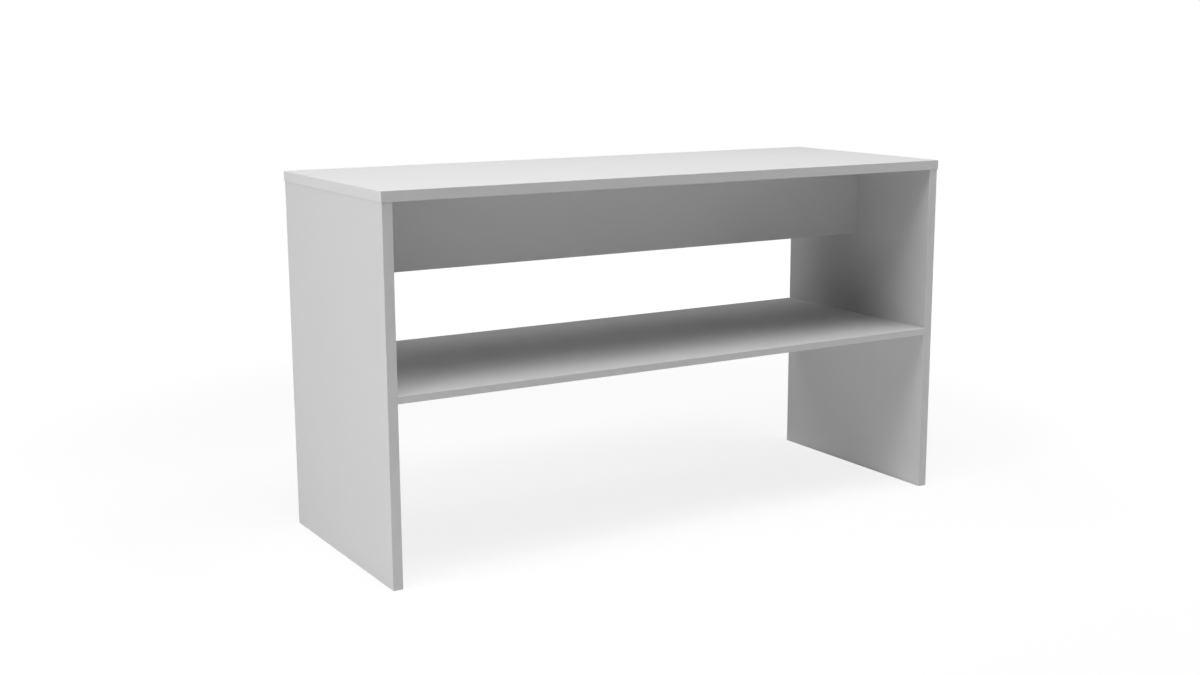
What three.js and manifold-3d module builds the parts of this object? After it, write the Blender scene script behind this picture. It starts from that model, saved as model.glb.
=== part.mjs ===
// A packing table of melamine-faced boards: a worktop on two side panels, with a rail under the
// worktop at mid-depth and a shelf at mid-height. Every board has edge bands where its edges show,
// and hidden dowels and cam fittings hold the boards together.
// Millimetres. +Z is up, +X runs along the worktop and the front faces -Y.
// The origin is on the floor, in the middle of the table.

import * as THREE from 'three';
import { mergeVertices } from 'three/addons/utils/BufferGeometryUtils.js';
import Module from 'manifold-3d';

const wasm = await Module();
wasm.setup();

// Driving dimensions of the table

const tableWidth = 1600;
const tableDepth = 600;
const tableHeight = 900;
const topOverhang = 2; // the worktop past the side panels, on all four sides
const railHeight = 200;
const shelfTopHeight = 446; // above the floor

// Boards and their edges

const thickBoard = 25; // worktop and side panels
const thinBoard = 18; // rail and shelf
const bandThickness = 2;
const arrisRadius = 1.5; // on every edge that has a band

// Dowels

const dowelRadius = 4;
const dowelLength = 30;
const dowelChamfer = 1;
const dowelInFace = 10; // of its length, in the face of one board. The rest is in the edge of the other
const dowelEndGap = 1; // at both ends, for the glue

// Connecting bolts, which screw into the face of one board and reach into the end of the other

const threadRadius = 3;
const threadLength = 11;
const threadTip = 1.5;
const threadEndGap = 1; // at the bottom of the bore
const collarRadius = 3.7;
const collarLength = 2;
const shaftRadius = 2.6;
const neckRadius = 1.5;
const headRadius = 3.2;
const headCone = 2; // from the neck out to the full head
const headPastAxis = 0.8; // the head's end, past the cam's axis

// Cams, which grip the bolts' heads

const camSetback = 24; // the cam's axis, from the end of its board
const camWallThin = 1.5; // at the mouth, where the head goes in
const camWallThick = 3; // across from the mouth
const camHeadRoom = 1.2; // between the head and the thick wall
const camTurn = THREE.MathUtils.degToRad(150); // from open to locked
const camSunk = 0.3; // below the board's face
const camFloorGap = 0.2; // between the cam and the bottom of its bore
const headFloorGap = 1.3; // between the head and the bottom of the cam's bore
const crossLength = 8; // of the screwdriver's cross
const crossWidth = 1.8;
const crossDepthShare = 0.5; // of the cap above the head's chamber
const pointerDepth = 0.6; // of the mark that shows where the mouth is
const pointerShare = 0.7; // of the room between the cross and the rim

// Where the fittings stand along their joints

const depthSetback = 60; // from the front and the rear of a side panel
const railEndSetback = 40; // from the top and the bottom of the rail, at its ends
const railTopSetback = 150; // from the ends of the rail, along its top

// Clearances

const boreClearance = 0.15; // round dowels, threads and collars
const camClearance = 0.1; // round a cam
const slotClearance = 0.3; // round a neck or a head inside a cam
const seatGap = 0.2; // between a collar and the face that it stands on
const overrun = 5; // of a cutting tool past what it cuts

// Facets of round forms

const arrisSteps = 3;
const pinSides = 10;
const boreSides = 12;
const camSides = 24;

// Sizes that follow

const sideHeight = tableHeight - thickBoard;
const sideDepth = tableDepth - 2 * topOverhang;
const innerFace = tableWidth / 2 - topOverhang - thickBoard; // of a side panel, from the middle

const camRadius = headRadius + camHeadRoom + camWallThick;
const camBoreDepth = thinBoard / 2 + headRadius + headFloorGap;
const camBottom = headRadius + headFloorGap - camFloorGap; // below the bolt's axis
const camTop = thinBoard / 2 - camSunk; // above the bolt's axis
const chamberOffset = (camWallThick - camWallThin) / 2; // towards the mouth
const chamberRadius = camRadius - (camWallThick + camWallThin) / 2;
const chamberTop = headRadius + slotClearance; // above the bolt's axis
const lockedWall = chamberOffset * Math.cos(camTurn) // from the cam's axis to the wall that holds the head
  + Math.sqrt(chamberRadius ** 2 - (chamberOffset * Math.sin(camTurn)) ** 2);
const neckStart = camSetback - camRadius - slotClearance; // along the bolt, from the face it screws into
const headStart = camSetback - lockedWall + slotClearance;

// Materials

const boardFinish = new THREE.MeshStandardMaterial({ color: 0xe3e3e3, roughness: 0.45, metalness: 0 });
const bandFinish = new THREE.MeshStandardMaterial({ color: 0xe0e0e0, roughness: 0.5, metalness: 0 });
const zincFinish = new THREE.MeshStandardMaterial({ color: 0xa9abad, roughness: 0.4, metalness: 1 });
const steelFinish = new THREE.MeshStandardMaterial({ color: 0xc3c4c6, roughness: 0.3, metalness: 1 });
const beechFinish = new THREE.MeshStandardMaterial({ color: 0xd2ab78, roughness: 0.75, metalness: 0 });

// Joining and cutting solids

function solidOf(geometry) {
  const bare = geometry.clone();
  bare.deleteAttribute('normal');
  bare.deleteAttribute('uv');
  const merged = mergeVertices(bare);
  return new wasm.Manifold(new wasm.Mesh({
    numProp: 3,
    vertProperties: merged.attributes.position.array,
    triVerts: new Uint32Array(merged.index.array),
  }));
}

function geometryOf(solid) {
  const { vertProperties, numProp, triVerts } = solid.getMesh();
  const shared = new THREE.BufferGeometry();
  shared.setAttribute('position', new THREE.BufferAttribute(vertProperties, numProp));
  shared.setIndex(new THREE.BufferAttribute(triVerts, 1));
  const geometry = shared.toNonIndexed();
  geometry.computeVertexNormals();
  return geometry;
}

function cutAway(geometry, tools) {
  const solids = tools.map(solidOf);
  return geometryOf(solids.reduce((uncut, tool) => uncut.subtract(tool), solidOf(geometry)));
}

// Blocks

/** A block that fills a box, with its faces exactly on the box's. */
function block({ min, max }) {
  const geometry = new THREE.BoxGeometry(1, 1, 1);
  const corners = geometry.getAttribute('position');
  for (let i = 0; i < corners.count; i++) {
    corners.setXYZ(
      i,
      corners.getX(i) < 0 ? min.x : max.x,
      corners.getY(i) < 0 ? min.y : max.y,
      corners.getZ(i) < 0 ? min.z : max.z,
    );
  }
  return geometry;
}

/** A block that fills a box, with the four arrises along one axis rounded. */
function roundedBlock({ min, max }, along) {
  const [u, v] = { x: ['y', 'z'], y: ['z', 'x'], z: ['x', 'y'] }[along];
  const r = Math.min(arrisRadius, (max[u] - min[u]) / 2, (max[v] - min[v]) / 2);
  const section = new THREE.Shape();
  section.absarc(max[u] - r, max[v] - r, r, 0, Math.PI / 2);
  section.absarc(min[u] + r, max[v] - r, r, Math.PI / 2, Math.PI);
  section.absarc(min[u] + r, min[v] + r, r, Math.PI, 1.5 * Math.PI);
  section.absarc(max[u] - r, min[v] + r, r, 1.5 * Math.PI, 2 * Math.PI);
  const geometry = new THREE.ExtrudeGeometry(section, {
    depth: 1,
    bevelEnabled: false,
    curveSegments: arrisSteps,
  });
  const corners = geometry.getAttribute('position');
  const corner = new THREE.Vector3();
  for (let i = 0; i < corners.count; i++) {
    corner[u] = corners.getX(i);
    corner[v] = corners.getY(i);
    corner[along] = corners.getZ(i) > 0 ? max[along] : min[along];
    corners.setXYZ(i, corner.x, corner.y, corner.z);
  }
  return geometry;
}

// Boards

const edgeSides = {
  front: { axis: 'y', side: -1 },
  rear: { axis: 'y', side: 1 },
  left: { axis: 'x', side: -1 },
  right: { axis: 'x', side: 1 },
  bottom: { axis: 'z', side: -1 },
  top: { axis: 'z', side: 1 },
};

/**
 * A board with its edge bands. The bands are put on in the order given, so the first ones run the board's
 * full length and cover the ends of the later ones. A bare edge has no band and keeps its sharp arrises.
 */
function makeBoard({ name, place, box, banded, bare = [] }) {
  const group = new THREE.Group();
  group.position.copy(place);

  const easedBox = box.clone();
  const rest = box.clone().expandByScalar(overrun);
  for (const { axis, side } of bare.map((edge) => edgeSides[edge])) {
    const end = side > 0 ? 'max' : 'min';
    easedBox[end][axis] += side * overrun;
    rest[end][axis] = box[end][axis];
  }
  const eased = ['x', 'y', 'z']
    .map((along) => solidOf(roundedBlock(easedBox, along)))
    .reduce((common, solid) => common.intersect(solid));

  for (const edge of banded) {
    const { axis, side } = edgeSides[edge];
    const [start, end] = side > 0 ? ['min', 'max'] : ['max', 'min'];
    const seam = box[end][axis] - side * bandThickness;
    const strip = rest.clone();
    strip[start][axis] = seam;
    rest[end][axis] = seam;
    const band = new THREE.Mesh(geometryOf(eased.intersect(solidOf(block(strip)))), bandFinish);
    band.name = `${name}_band_${edge}`;
    group.add(band);
  }

  const core = new THREE.Mesh(geometryOf(eased.intersect(solidOf(block(rest)))), boardFinish);
  core.name = name;
  group.add(core);
  return { group, core, bores: [] };
}

const worktop = makeBoard({
  name: 'worktop',
  place: new THREE.Vector3(0, 0, sideHeight),
  box: new THREE.Box3(
    new THREE.Vector3(-tableWidth / 2, -tableDepth / 2, 0),
    new THREE.Vector3(tableWidth / 2, tableDepth / 2, thickBoard),
  ),
  banded: ['front', 'rear', 'left', 'right'],
});

const [leftSide, rightSide] = ['left', 'right'].map((hand) => {
  const { side } = edgeSides[hand];
  const outerFace = side * thickBoard;
  return makeBoard({
    name: `side_panel_${hand}`,
    place: new THREE.Vector3(side * innerFace, 0, 0),
    box: new THREE.Box3(
      new THREE.Vector3(Math.min(0, outerFace), -sideDepth / 2, 0),
      new THREE.Vector3(Math.max(0, outerFace), sideDepth / 2, sideHeight),
    ),
    banded: ['front', 'rear', 'bottom'],
    bare: ['top'],
  });
});

const rail = makeBoard({
  name: 'centre_rail',
  place: new THREE.Vector3(0, 0, sideHeight),
  box: new THREE.Box3(
    new THREE.Vector3(-innerFace, -thinBoard / 2, -railHeight),
    new THREE.Vector3(innerFace, thinBoard / 2, 0),
  ),
  banded: ['bottom'],
  bare: ['left', 'right', 'top'],
});

const shelf = makeBoard({
  name: 'shelf',
  place: new THREE.Vector3(0, 0, shelfTopHeight),
  box: new THREE.Box3(
    new THREE.Vector3(-innerFace, -sideDepth / 2, -thinBoard),
    new THREE.Vector3(innerFace, sideDepth / 2, 0),
  ),
  banded: ['front', 'rear'],
  bare: ['left', 'right'],
});

// Fittings. Each is modelled with its origin where its axis leaves the face of one board, +X running into
// the edge of the other board and +Z pointing out of the cam's bore.

/** A round piece along +X, from its radius at each place along it. */
function turned(profile) {
  const points = profile.map(([radius, x]) => new THREE.Vector2(radius, x));
  return new THREE.LatheGeometry(points, pinSides).rotateZ(-Math.PI / 2);
}

/** The tool for a bore along +X. Its flats touch the true circle, so that a pin keeps its clearance. */
function drill(radius, from, to, sides = boreSides) {
  const outerRadius = radius / Math.cos(Math.PI / sides);
  return new THREE.CylinderGeometry(outerRadius, outerRadius, to - from, sides)
    .rotateZ(-Math.PI / 2)
    .translate((from + to) / 2, 0, 0);
}

/** An upright cylinder between two heights. */
function drum(radius, bottom, top) {
  return new THREE.CylinderGeometry(radius, radius, top - bottom, camSides)
    .rotateX(Math.PI / 2)
    .translate(0, 0, (bottom + top) / 2);
}

/**
 * The cam: a drum with a chamber for the bolt's head, open below and set off-centre towards the mouth.
 * A slot for the bolt's neck runs round the wall from the mouth, so that turning the drum draws the head
 * in against the thicker wall. Its origin is where its axis crosses the bolt's, and the mouth faces +X.
 */
function camGeometry() {
  const slotHalf = neckRadius + slotClearance;
  const slotEnd = camTurn + Math.asin(slotHalf / lockedWall);
  const sector = new THREE.Shape();
  sector.moveTo(0, 0);
  sector.lineTo(camRadius + overrun, 0);
  sector.absarc(0, 0, camRadius + overrun, 0, slotEnd);
  const slot = new THREE.ExtrudeGeometry(sector, {
    depth: 2 * slotHalf,
    bevelEnabled: false,
    curveSegments: camSides / 2,
  }).translate(0, 0, -slotHalf);

  const chamber = drum(chamberRadius, -camBottom - overrun, chamberTop).translate(chamberOffset, 0, 0);
  const mouth = drill(headRadius + slotClearance, 0, camRadius + overrun);

  const crossDepth = (camTop - chamberTop) * crossDepthShare;
  const bar = new THREE.BoxGeometry(crossLength, crossWidth, 2 * crossDepth).translate(0, 0, camTop);
  const crossBar = bar.clone().rotateZ(Math.PI / 2);

  const rimRoom = camRadius - crossLength / 2;
  const pointerRadius = rimRoom / 2 * pointerShare;
  const pointer = new THREE.CylinderGeometry(pointerRadius, pointerRadius, 2 * pointerDepth, 3)
    .rotateX(Math.PI / 2)
    .rotateZ(Math.PI / 2)
    .translate(camRadius - rimRoom / 2, 0, camTop);

  return cutAway(drum(camRadius, -camBottom, camTop), [slot, chamber, mouth, bar, crossBar, pointer]);
}

const boltGeometry = turned([
  [0, -threadLength],
  [threadRadius - threadTip, -threadLength],
  [threadRadius, threadTip - threadLength],
  [threadRadius, seatGap],
  [collarRadius, seatGap],
  [collarRadius, seatGap + collarLength],
  [shaftRadius, seatGap + collarLength],
  [shaftRadius, neckStart],
  [neckRadius, neckStart],
  [neckRadius, headStart],
  [headRadius, headStart + headCone],
  [headRadius, camSetback + headPastAxis],
  [0, camSetback + headPastAxis],
]);

const dowelGeometry = turned([
  [0, -dowelInFace],
  [dowelRadius - dowelChamfer, -dowelInFace],
  [dowelRadius, dowelChamfer - dowelInFace],
  [dowelRadius, dowelLength - dowelInFace - dowelChamfer],
  [dowelRadius - dowelChamfer, dowelLength - dowelInFace],
  [0, dowelLength - dowelInFace],
]);

const lockedCamGeometry = camGeometry();

/** What each kind of fitting puts into the seat, and what it bores in the two boards. */
const fittings = {
  dowel: {
    meshes: () => ({ dowel: new THREE.Mesh(dowelGeometry, beechFinish) }),
    faceBores: () => [
      drill(dowelRadius + boreClearance, -dowelInFace - dowelEndGap, overrun),
    ],
    edgeBores: () => [
      drill(dowelRadius + boreClearance, -overrun, dowelLength - dowelInFace + dowelEndGap),
    ],
  },
  cam: {
    meshes: () => {
      const cam = new THREE.Mesh(lockedCamGeometry, zincFinish);
      cam.position.x = camSetback;
      cam.rotation.z = Math.PI - camTurn;
      return { cam, bolt: new THREE.Mesh(boltGeometry, steelFinish) };
    },
    faceBores: () => [
      drill(threadRadius + boreClearance, -threadLength - threadEndGap, overrun),
    ],
    edgeBores: () => [
      drill(collarRadius + boreClearance, -overrun, camSetback),
      drill(camRadius + camClearance, 0, camBoreDepth + overrun, camSides)
        .rotateY(-Math.PI / 2)
        .translate(camSetback, 0, thinBoard / 2 - camBoreDepth),
    ],
  },
};

const fittingsGroup = new THREE.Group();

/**
 * A row of fittings along a joint, evenly spaced between two points. `into` runs from the face of one board
 * into the edge of the other, and `open` is the way that the cams' bores open.
 */
function fitRow({ name, face, edge, from, to, into, open, pieces }) {
  const turn = new THREE.Matrix4().makeBasis(into, open.clone().cross(into), open);
  const counts = {};
  pieces.forEach((kind, i) => {
    const seat = new THREE.Group();
    seat.position.lerpVectors(from, to, i / (pieces.length - 1));
    seat.quaternion.setFromRotationMatrix(turn);
    seat.updateMatrix();
    fittingsGroup.add(seat);

    counts[kind] = (counts[kind] ?? 0) + 1;
    const { meshes, faceBores, edgeBores } = fittings[kind];
    for (const [piece, mesh] of Object.entries(meshes())) {
      mesh.name = `${piece}_${name}_${counts[kind]}`;
      seat.add(mesh);
    }
    for (const [board, tools] of [[face, faceBores()], [edge, edgeBores()]]) {
      const { x, y, z } = board.group.position;
      board.bores.push(...tools.map((tool) => tool.applyMatrix4(seat.matrix).translate(-x, -y, -z)));
    }
  });
}

const towardsRight = new THREE.Vector3(1, 0, 0);
const rearwards = new THREE.Vector3(0, 1, 0);
const upwards = new THREE.Vector3(0, 0, 1);
const downwards = upwards.clone().negate();

const rowY = sideDepth / 2 - depthSetback;
const rowX = innerFace - railTopSetback;
const shelfMiddle = shelfTopHeight - thinBoard / 2;

fitRow({
  name: 'rail_top',
  face: worktop,
  edge: rail,
  from: new THREE.Vector3(-rowX, 0, sideHeight),
  to: new THREE.Vector3(rowX, 0, sideHeight),
  into: downwards,
  open: rearwards,
  pieces: ['cam', 'dowel', 'cam', 'cam', 'dowel', 'cam'],
});

for (const [hand, panel] of [['left', leftSide], ['right', rightSide]]) {
  const { side } = edgeSides[hand];
  const inwards = towardsRight.clone().multiplyScalar(-side);
  const facePlane = side * innerFace;
  const panelMiddle = side * (innerFace + thickBoard / 2);

  fitRow({
    name: `worktop_${hand}`,
    face: worktop,
    edge: panel,
    from: new THREE.Vector3(panelMiddle, -rowY, sideHeight),
    to: new THREE.Vector3(panelMiddle, rowY, sideHeight),
    into: downwards,
    open: rearwards,
    pieces: ['dowel', 'dowel', 'dowel', 'dowel'],
  });

  fitRow({
    name: `rail_${hand}`,
    face: panel,
    edge: rail,
    from: new THREE.Vector3(facePlane, 0, sideHeight - railHeight + railEndSetback),
    to: new THREE.Vector3(facePlane, 0, sideHeight - railEndSetback),
    into: inwards,
    open: rearwards,
    pieces: ['cam', 'dowel', 'cam'],
  });

  fitRow({
    name: `shelf_${hand}`,
    face: panel,
    edge: shelf,
    from: new THREE.Vector3(facePlane, -rowY, shelfMiddle),
    to: new THREE.Vector3(facePlane, rowY, shelfMiddle),
    into: inwards,
    open: downwards,
    pieces: ['cam', 'dowel', 'dowel', 'cam'],
  });
}

// The whole table

const boards = [worktop, leftSide, rightSide, rail, shelf];
for (const { core, bores } of boards) {
  core.geometry = cutAway(core.geometry, bores);
}

const table = new THREE.Group();
table.name = 'packing_table';
table.add(...boards.map(({ group }) => group), fittingsGroup);

export default table;
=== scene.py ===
"""Dresses the packing table: white melamine boards with edge bands, and the fittings inside their joints.

The meshes are in metres, in the CAD model's frame: the origin on the floor in the middle of the table, +X
along the worktop, the front towards -Y and +Z up. The classes give their sizes in millimetres.
"""

import logging
import math
from collections.abc import Callable, Iterator, Mapping, Sequence
from contextlib import contextmanager
from dataclasses import dataclass, field
from enum import Enum
from typing import Any

import bmesh
import bpy
from mathutils import Color, Matrix, Vector


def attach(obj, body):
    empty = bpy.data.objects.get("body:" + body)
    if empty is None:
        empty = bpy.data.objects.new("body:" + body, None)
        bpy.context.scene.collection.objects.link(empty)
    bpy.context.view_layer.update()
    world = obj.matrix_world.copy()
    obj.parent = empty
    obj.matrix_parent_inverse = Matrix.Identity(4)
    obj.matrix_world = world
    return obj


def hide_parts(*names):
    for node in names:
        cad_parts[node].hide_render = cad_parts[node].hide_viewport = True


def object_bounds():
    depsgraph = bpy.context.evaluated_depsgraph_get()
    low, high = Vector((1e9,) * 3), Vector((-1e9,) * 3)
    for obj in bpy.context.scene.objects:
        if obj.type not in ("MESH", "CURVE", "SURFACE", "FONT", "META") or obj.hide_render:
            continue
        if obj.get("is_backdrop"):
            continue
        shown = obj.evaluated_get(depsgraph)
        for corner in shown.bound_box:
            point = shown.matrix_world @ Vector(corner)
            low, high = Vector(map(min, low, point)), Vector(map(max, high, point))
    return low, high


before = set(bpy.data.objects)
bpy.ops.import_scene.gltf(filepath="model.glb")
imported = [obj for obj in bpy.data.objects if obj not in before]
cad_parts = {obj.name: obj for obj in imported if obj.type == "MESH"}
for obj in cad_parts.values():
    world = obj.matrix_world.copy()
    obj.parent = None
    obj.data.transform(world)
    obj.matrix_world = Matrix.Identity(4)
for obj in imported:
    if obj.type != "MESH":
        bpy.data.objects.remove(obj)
cad_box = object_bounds()

log = logging.getLogger("packing_table")

Triple = tuple[float, float, float]
Colour = Triple
Socket = bpy.types.NodeSocket
Inputs = Mapping[str | int, Any]
Outputs = bpy.types.NodeOutputs

# The lowest corner and the highest
Box = tuple[Vector, Vector]

# A finish's colour, the height of its bumps, and the value from 0 to 1 that its roughness follows
Look = tuple[Any, Socket, Socket]

# What is asked of an edge by its two ends, and of a point by its place
EdgeTest = Callable[[Vector, Vector], bool]
PointTest = Callable[[Vector], bool]

MM = 0.001
OWN_PLACE = "own_place"
ARRIS_MASK = "arris"
ORIGIN = Vector((0.0, 0.0, 0.0))
X_AXIS = Vector((1.0, 0.0, 0.0))
Y_AXIS = Vector((0.0, 1.0, 0.0))
Z_AXIS = Vector((0.0, 0.0, 1.0))

# How near a place must be to the one wanted, in millimetres
NEAR = 0.001

# The share of a normal that must lie along an axis for a face to be square to it
SQUARE = 0.999

# The tolerances of the operators that cut and merge, in metres
CUT_TOLERANCE = 1e-7
MERGE_TOLERANCE = 2e-6

# The least angle of a crisp edge when edges are rounded and when faces are shaded, in degrees
TUMBLED_ANGLE = 50.0
SHADED_ANGLE = 40.0

# The steps of a crisp edge's rounding
TUMBLED_STEPS = 2

# How far outside the face a drill starts, in millimetres
DRILL_OVERRUN = 5.0


# Named options


class Edge(Enum):
    """An edge of a board, as the axis that it faces along and the way that it faces."""

    LEFT = (0, -1)
    RIGHT = (0, 1)
    FRONT = (1, -1)
    REAR = (1, 1)
    BOTTOM = (2, -1)
    TOP = (2, 1)

    @property
    def axis(self) -> int:
        """The axis that the edge faces along."""
        return self.value[0]

    @property
    def side(self) -> int:
        """The end of that axis that the edge faces."""
        return self.value[1]

    @property
    def outwards(self) -> Vector:
        """The edge's own direction."""
        return (X_AXIS, Y_AXIS, Z_AXIS)[self.axis] * self.side


class Hand(Enum):
    """One end of the table, as its side of the middle."""

    LEFT = -1
    RIGHT = 1

    @property
    def label(self) -> str:
        """The hand as the nodes' names write it."""
        return self.name.lower()


class Fitting(Enum):
    """What holds two boards together at one place."""

    CAM = "cam"
    DOWEL = "dowel"


class Slot(Enum):
    """The record's material slots."""

    BOARD = "melamine_board"
    BAND = "edge_band"
    ZINC = "zinc"
    STEEL = "steel"
    BEECH = "beech"


class Element(Enum):
    """What is selected of a mesh, by its name in bmesh and in the order of Blender's selection modes."""

    POINTS = "verts"
    EDGES = "edges"
    FACES = "faces"

    def where(self, item: Any) -> tuple[Vector, ...]:
        """Gives what a test reads of an element.

        Args:
            item: The point, edge or face, as bmesh holds it.

        Returns:
            A point's place, an edge's two ends, or a face's middle and its normal.
        """
        if self is Element.FACES:
            return item.calc_center_median() / MM, item.normal
        points = (item,) if self is Element.POINTS else item.verts
        return tuple(point.co / MM for point in points)


# Modelling


def put_down() -> None:
    """Leaves edit mode and deselects everything."""
    if bpy.context.mode != "OBJECT":
        bpy.ops.object.mode_set(mode="OBJECT")
    bpy.ops.object.select_all(action="DESELECT")


class Workpiece:
    """A mesh in the making, worked on with Blender's own operators. Places and sizes are in millimetres."""

    def __init__(self, body: bpy.types.Object) -> None:
        """Takes up a mesh object that exists."""
        self.body = body

    @classmethod
    def block(cls, name: str, low: Vector, high: Vector) -> "Workpiece":
        """Starts from a block.

        Args:
            name: The piece's name.
            low: The block's lowest corner.
            high: The block's highest corner.

        Returns:
            The new piece.
        """
        put_down()
        bpy.ops.mesh.primitive_cube_add(size=1.0, location=(low + high) / 2 * MM, scale=(high - low) * MM)
        return cls.taken_up(name)

    @classmethod
    def rod(cls, name: str, start: Vector, end: Vector, radius: float, sides: int) -> "Workpiece":
        """Starts from a round rod.

        Args:
            name: The piece's name.
            start: The middle of one end.
            end: The middle of the other end.
            radius: The rod's radius.
            sides: How many flats go round it.

        Returns:
            The new piece.
        """
        along = end - start
        put_down()
        bpy.ops.mesh.primitive_cylinder_add(
            vertices=sides,
            radius=radius * MM,
            depth=along.length * MM,
            location=(start + end) / 2 * MM,
            rotation=along.to_track_quat("Z", "X").to_euler(),
        )
        return cls.taken_up(name)

    @classmethod
    def taken_up(cls, name: str) -> "Workpiece":
        """Takes up the primitive that was just added, and moves its place into its mesh.

        Args:
            name: The piece's name.

        Returns:
            The new piece.
        """
        body = bpy.context.active_object
        body.name = body.data.name = name
        bpy.ops.object.transform_apply(location=True, rotation=True, scale=True)
        return cls(body)

    def copy(self, name: str, place: Matrix | None = None) -> "Workpiece":
        """Copies the piece with a mesh of its own.

        Args:
            name: The copy's name.
            place: A turn and a move for the copy's mesh, in metres.

        Returns:
            The copy.
        """
        body = self.body.copy()
        body.data = self.body.data.copy()
        body.name = body.data.name = name
        bpy.context.scene.collection.objects.link(body)
        if place is not None:
            body.data.transform(place)
        return Workpiece(body)

    def scrap(self) -> None:
        """Throws the piece away."""
        bpy.data.objects.remove(self.body)

    def _pick_up(self) -> None:
        """Selects this piece alone and makes it the active one."""
        put_down()
        self.body.select_set(True)
        bpy.context.view_layer.objects.active = self.body

    @contextmanager
    def at_bench(
        self, kind: Element = Element.FACES, test: Callable[..., bool] | None = None
    ) -> Iterator[None]:
        """Opens the mesh in edit mode with some or all of it selected, and closes it again afterwards.

        Args:
            kind: What the test looks at.
            test: Says what is wanted, from what the kind gives of it. Without it, everything is.

        Yields:
            Nothing.
        """
        self._pick_up()
        bpy.ops.object.mode_set(mode="EDIT")
        bpy.ops.mesh.select_all(action="DESELECT" if test else "SELECT")
        if test:
            bpy.context.tool_settings.mesh_select_mode = tuple(kind is each for each in Element)
            mesh = bmesh.from_edit_mesh(self.body.data)
            for item in getattr(mesh, kind.value):
                item.select_set(test(*kind.where(item)))
            mesh.select_flush_mode()
            bmesh.update_edit_mesh(self.body.data)
        yield
        bpy.ops.object.mode_set(mode="OBJECT")

    def round_edges(self, test: EdgeTest, width: float, steps: int = 1) -> None:
        """Chamfers edges over a width, or rounds them in more than one step."""
        with self.at_bench(Element.EDGES, test):
            bpy.ops.mesh.bevel(offset=width * MM, segments=steps, profile=0.5, affect="EDGES")

    def squeeze(self, test: PointTest, share: Vector, about: Vector) -> None:
        """Brings points to a share of their distance from one place."""
        with self.at_bench(Element.POINTS, test):
            bpy.ops.transform.resize(value=share, center_override=about * MM)

    def saw(self, point: Vector, offcut: Vector) -> None:
        """Cuts the piece along a plane and closes the cut.

        Args:
            point: A point of the plane.
            offcut: The direction from the plane to the side that falls away.
        """
        with self.at_bench():
            bpy.ops.mesh.bisect(
                plane_co=point * MM,
                plane_no=offcut,
                threshold=CUT_TOLERANCE,
                use_fill=True,
                clear_outer=True,
            )

    def machine(self, kind: str, **settings: Any) -> None:
        """Adds one modifier and applies it.

        Args:
            kind: The modifier's type.
            **settings: Its settings.
        """
        self._pick_up()
        modifier = self.body.modifiers.new(kind.lower(), kind)
        for name, value in settings.items():
            setattr(modifier, name, value)
        bpy.ops.object.modifier_apply(modifier=modifier.name)

    def cut_with(self, *tools: "Workpiece") -> None:
        """Cuts with tools that don't touch each other, and throws them away.

        Args:
            *tools: The shapes to take out.
        """
        if not tools:
            return
        first = tools[0]
        first._pick_up()
        for tool in tools[1:]:
            tool.body.select_set(True)
        if len(tools) > 1:
            bpy.ops.object.join()
        self.machine("BOOLEAN", operation="DIFFERENCE", solver="EXACT", object=first.body)
        first.scrap()

    def weld(self, part: "Workpiece") -> None:
        """Makes another solid part of this one, and throws the other away."""
        self.machine("BOOLEAN", operation="UNION", solver="EXACT", object=part.body)
        part.scrap()

    def tumble(self, width: float) -> None:
        """Rounds every crisp edge over a width."""
        crisp = {"limit_method": "ANGLE", "angle_limit": math.radians(TUMBLED_ANGLE)}
        self.machine("BEVEL", width=width * MM, segments=TUMBLED_STEPS, use_clamp_overlap=True, **crisp)

    def clean(self) -> None:
        """Merges points that lie on each other and turns the faces outwards."""
        with self.at_bench():
            bpy.ops.mesh.remove_doubles(threshold=MERGE_TOLERANCE)
            bpy.ops.mesh.normals_make_consistent(inside=False)

    def polish(self) -> None:
        """Shades rounds smooth and keeps flats flat."""
        self._pick_up()
        bpy.ops.object.shade_smooth_by_angle(angle=math.radians(SHADED_ANGLE))
        self.machine("WEIGHTED_NORMAL", keep_sharp=True)

    def keep_own_place(self) -> None:
        """Stores each point's place, so that a finish can follow the piece wherever a copy is put."""
        places = self.body.data.attributes.new(OWN_PLACE, "FLOAT_VECTOR", "POINT")
        for point, place in zip(self.body.data.vertices, places.data, strict=True):
            place.vector = point.co

    def mark_arrises(self) -> None:
        """Stores 1 on faces that slope between two of the axes, and 0 on the rest."""
        mask = self.body.data.attributes.new(ARRIS_MASK, "FLOAT", "FACE")
        for face, share in zip(self.body.data.polygons, mask.data, strict=True):
            share.value = 0.0 if max(map(abs, face.normal)) > SQUARE else 1.0

    def paint(
        self, *finishes: bpy.types.Material, pick: Callable[[bpy.types.MeshPolygon], int] | None = None
    ) -> None:
        """Gives the piece its materials.

        Args:
            *finishes: The materials.
            pick: Says which of them a face takes. Without it, all take the first.
        """
        self.body.data.materials.clear()
        for finish in finishes:
            self.body.data.materials.append(finish)
        for face in self.body.data.polygons:
            face.material_index = pick(face) if pick else 0

    def hand_over(self, node: str, slot: Slot) -> None:
        """Lets the finished piece stand for its CAD node.

        Args:
            node: The CAD node.
            slot: The record's material slot; not used.
        """
        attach(self.body, "root")
        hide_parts(node)
        log.info("%s stands for %s, %d faces", self.body.name, node, len(self.body.data.polygons))


def lies_at(axis: int, *places: float) -> EdgeTest:
    """Makes a test for the edges that lie across an axis at one of some places.

    Args:
        axis: The axis.
        *places: The places along it.

    Returns:
        The test.
    """

    def on_place(start: Vector, end: Vector) -> bool:
        """Tells whether both ends lie at the same wanted place."""
        return any(max(abs(start[axis] - place), abs(end[axis] - place)) < NEAR for place in places)

    return on_place


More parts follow.
